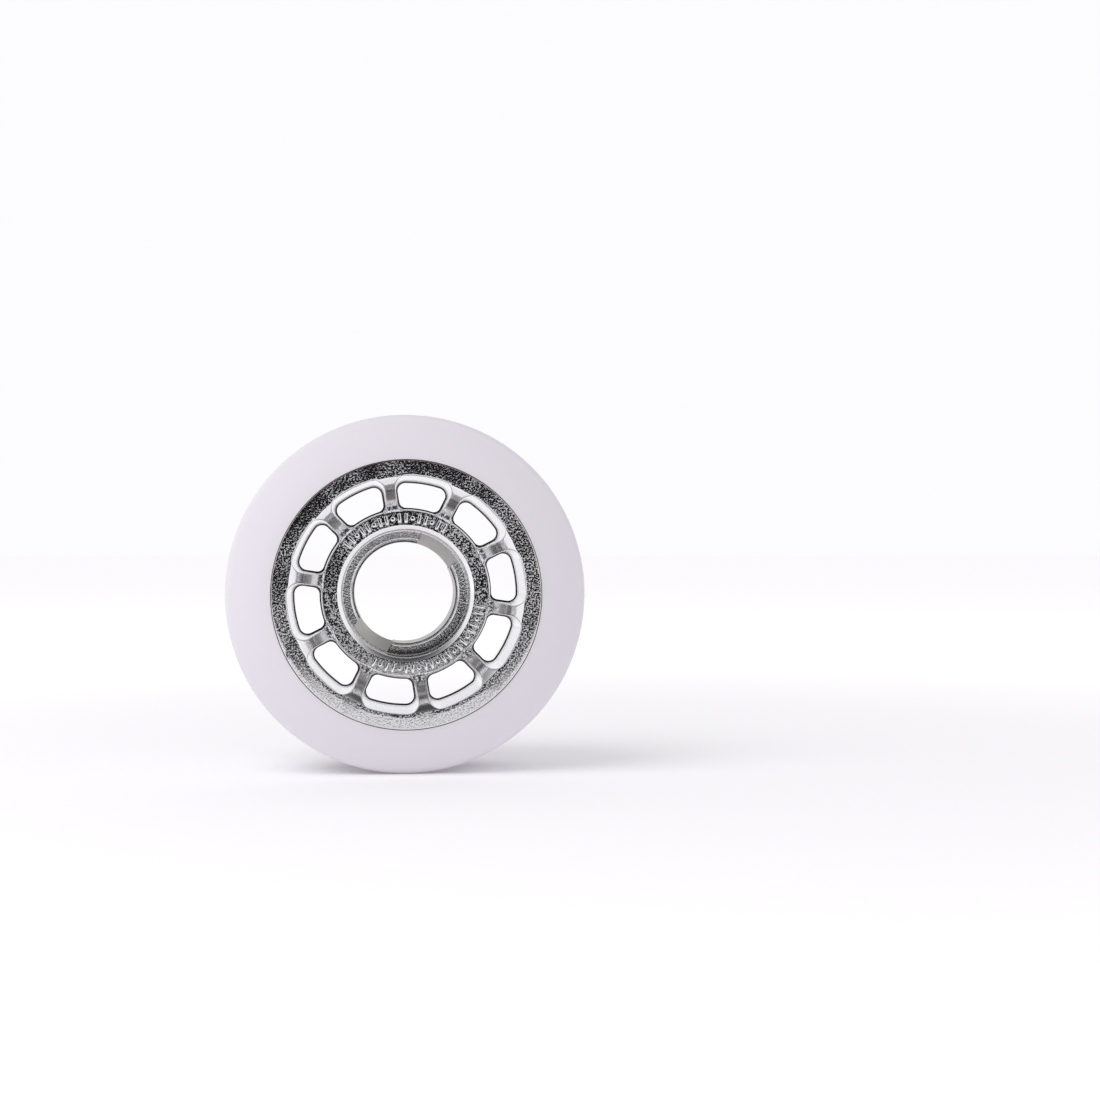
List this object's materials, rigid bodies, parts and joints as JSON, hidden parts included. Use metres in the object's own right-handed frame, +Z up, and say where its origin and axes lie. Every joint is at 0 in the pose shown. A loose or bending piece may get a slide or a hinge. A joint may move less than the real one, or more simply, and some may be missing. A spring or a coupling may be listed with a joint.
{
  "type": "roller skate wheel",
  "caption": "Bare quad roller-skate wheel: a grooved cast polyurethane tyre on a spoked, chromed die-cast hub with a stepped bore for two ball bearings.",
  "frame": {"origin": "on the spin axis, at the middle of the overall width, which runs from the open front face to the end of the boss", "axes": "+Y along the spin axis, from the open, dished side to the boss; +Z up, with the wheel standing on its tread"},
  "size_m": [0.061, 0.033, 0.061],
  "materials": {
    "hub": "bright chrome plate over a die casting, with spark-textured flats",
    "bond_layer": "cured brown adhesive film",
    "tyre": "opaque white cast polyurethane, satin"
  },
  "bodies": {
    "root": {"hub": "hub", "bond_layer": "bond_layer", "tyre": "tyre"}
  },
  "joints": []
}
